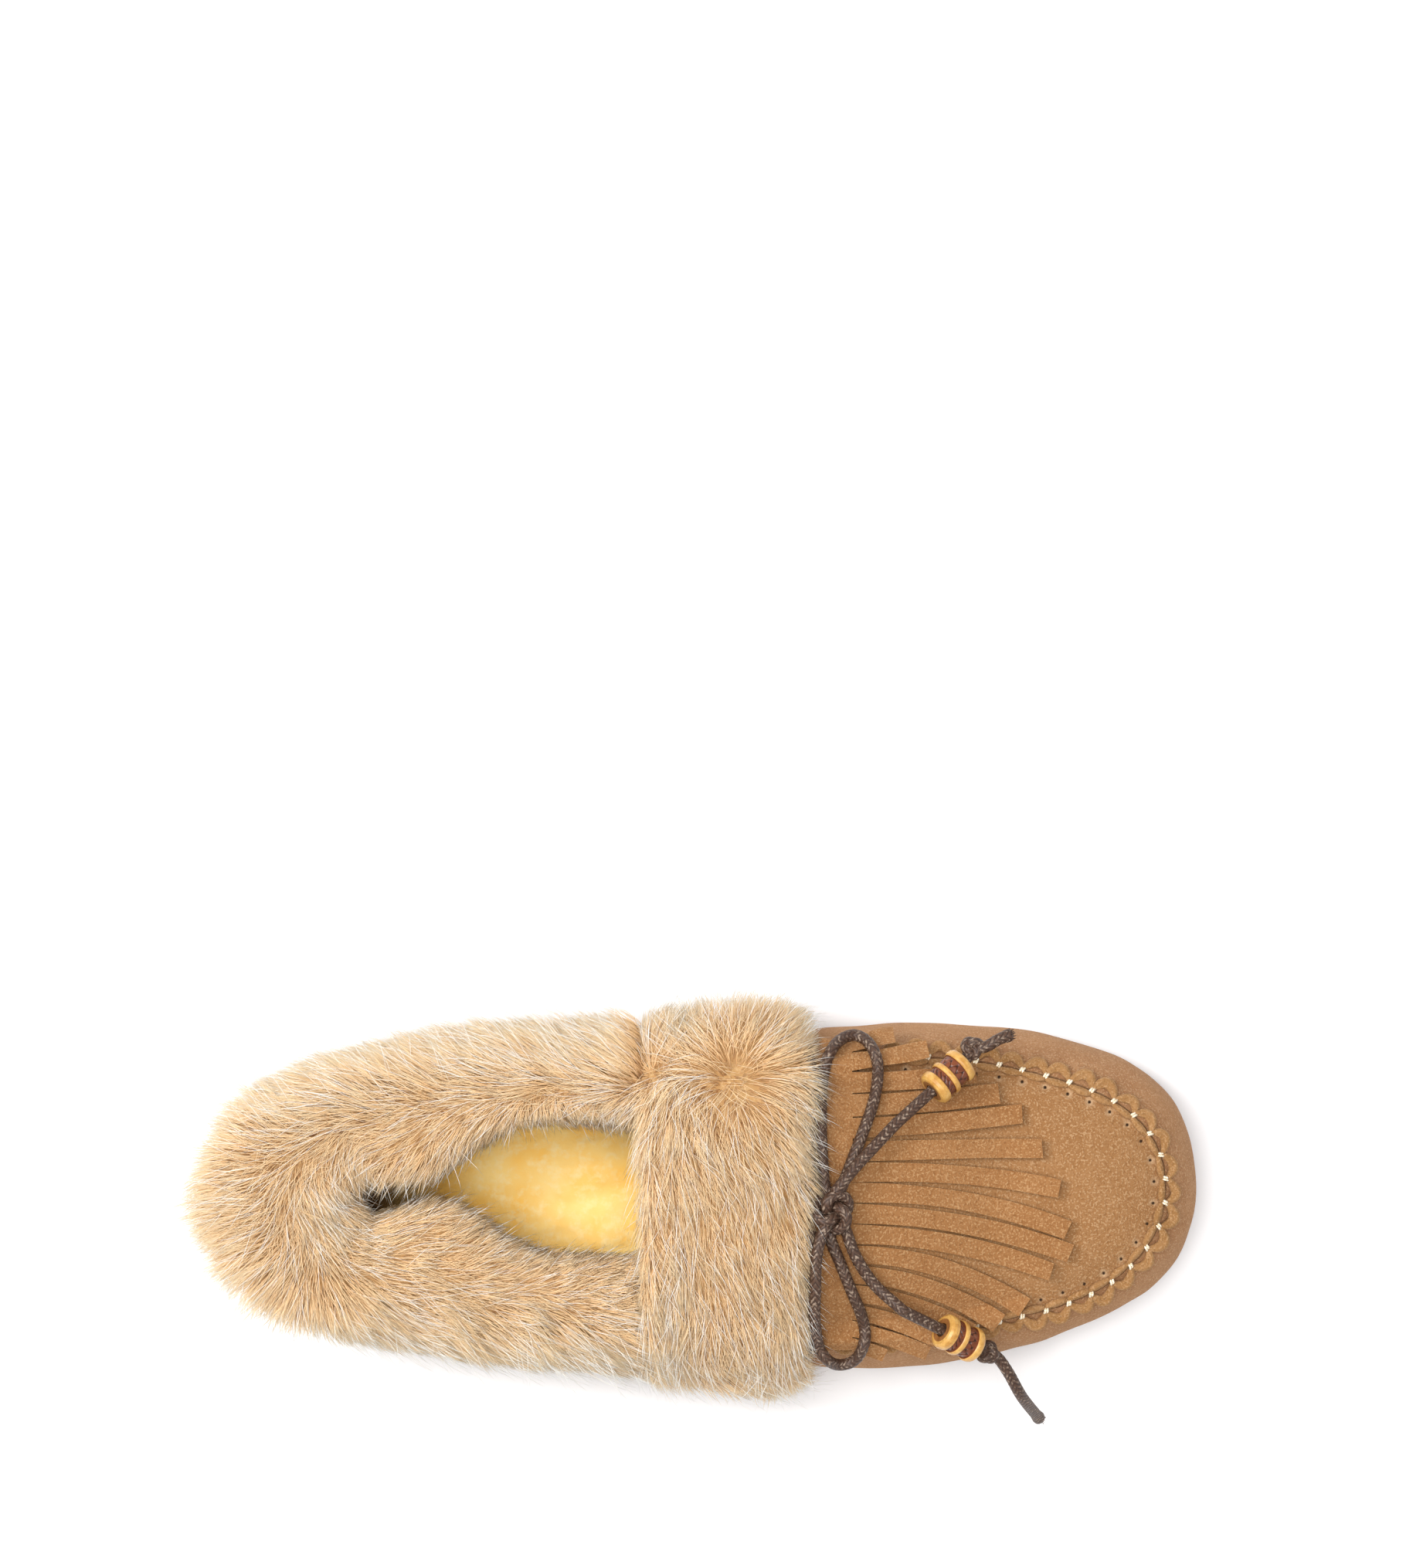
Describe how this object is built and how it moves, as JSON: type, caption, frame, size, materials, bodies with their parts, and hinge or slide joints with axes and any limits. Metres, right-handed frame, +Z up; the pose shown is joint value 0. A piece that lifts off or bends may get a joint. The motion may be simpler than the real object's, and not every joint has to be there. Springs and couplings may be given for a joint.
{
  "type": "moccasin",
  "caption": "Right-foot suede moccasin slipper with a fur collar, laced moc-toe seam, fringed instep flap and a corded bow whose tails carry carved beads.",
  "frame": {"origin": "on the outsole's flat underside, where the ground is, under the instep a little behind the middle of the shoe's length", "axes": "+X to the toe, +Y to the medial (inner) side, +Z up"},
  "size_m": [0.2618, 0.1115, 0.0832],
  "materials": {
    "outsole": "matt",
    "board": "matt",
    "shearling": "matt",
    "suede_wrap": "matt",
    "suede_plug": "matt",
    "suede_fringe": "matt",
    "suede_lacing": "matt",
    "thread": "matt",
    "lining": "matt",
    "fur": "matt",
    "cord": "satin",
    "bead": "satin"
  },
  "bodies": {
    "shoe": {"outsole": "outsole", "insole_board": "board", "insole_pad": "shearling", "toe_wrap": "suede_wrap", "medial_quarter": "suede_wrap", "lateral_quarter": "suede_wrap", "heel_strip": "suede_wrap", "heel_counter": "board", "plug": "suede_plug", "vamp_lining": "lining", "quarter_lining": "lining", "seam_lacing": "suede_lacing", "seam_thread": "thread", "fur_cuff_heel": "fur", "fur_cuff_instep": "fur", "kiltie_yoke": "suede_fringe", "fringe_strip_01": "suede_fringe", "fringe_strip_02": "suede_fringe", "fringe_strip_03": "suede_fringe", "fringe_strip_04": "suede_fringe", "fringe_strip_05": "suede_fringe", "fringe_strip_06": "suede_fringe", "fringe_strip_11": "suede_fringe", "fringe_strip_12": "suede_fringe", "fringe_strip_13": "suede_fringe", "fringe_strip_14": "suede_fringe", "fringe_strip_15": "suede_fringe", "fringe_strip_16": "suede_fringe", "lace_collar": "cord", "bow_knot": "cord", "loop_medial": "cord"},
    "fringe_07": {"fringe_strip_07": "suede_fringe"},
    "fringe_08": {"fringe_strip_08": "suede_fringe"},
    "fringe_09": {"fringe_strip_09": "suede_fringe"},
    "fringe_10": {"fringe_strip_10": "suede_fringe"},
    "loop_lateral": {"loop_lateral": "cord"},
    "tail_medial": {"tail_medial": "cord", "stopper_medial": "cord", "cord_end_medial": "cord"},
    "bead_medial": {"bead_medial": "bead"},
    "tail_lateral": {"tail_lateral": "cord", "stopper_lateral": "cord", "cord_end_lateral": "cord"},
    "bead_lateral": {"bead_lateral": "bead"}
  },
  "joints": [
    {"name": "fringe_07_lift", "type": "hinge", "parent": "shoe", "child": "fringe_07", "pos_m": [0.0459, 0.00746, 0.05702], "axis": [0, -1, 0], "range_deg": [0, 60]},
    {"name": "fringe_08_lift", "type": "hinge", "parent": "shoe", "child": "fringe_08", "pos_m": [0.0459, 0.00213, 0.05722], "axis": [0, -1, 0], "range_deg": [0, 60]},
    {"name": "fringe_09_lift", "type": "hinge", "parent": "shoe", "child": "fringe_09", "pos_m": [0.0459, -0.00344, 0.05723], "axis": [0, -1, 0], "range_deg": [0, 60]},
    {"name": "fringe_10_lift", "type": "hinge", "parent": "shoe", "child": "fringe_10", "pos_m": [0.0459, -0.00877, 0.05705], "axis": [0, -1, 0], "range_deg": [0, 60]},
    {"name": "loop_lateral_lift", "type": "hinge", "parent": "shoe", "child": "loop_lateral", "pos_m": [0.0326, -0.0094, 0.0684], "axis": [-1, 0, 0], "range_deg": [0, 50]},
    {"name": "tail_medial_lift", "type": "hinge", "parent": "shoe", "child": "tail_medial", "pos_m": [0.0362, 0.0042, 0.06731], "axis": [0.709, -0.7052, 0], "range_deg": [0, 60]},
    {"name": "bead_medial_slide", "type": "slide", "parent": "tail_medial", "child": "bead_medial", "axis": [0.719, 0.6328, -0.2873], "range_m": [-0.012, 0]},
    {"name": "tail_lateral_lift", "type": "hinge", "parent": "shoe", "child": "tail_lateral", "pos_m": [0.0382, -0.008, 0.06318], "axis": [-0.652, -0.7582, 0], "range_deg": [0, 45]},
    {"name": "bead_lateral_slide", "type": "slide", "parent": "tail_lateral", "child": "bead_lateral", "axis": [0.7663, -0.4093, -0.4952], "range_m": [-0.012, 0]}
  ]
}
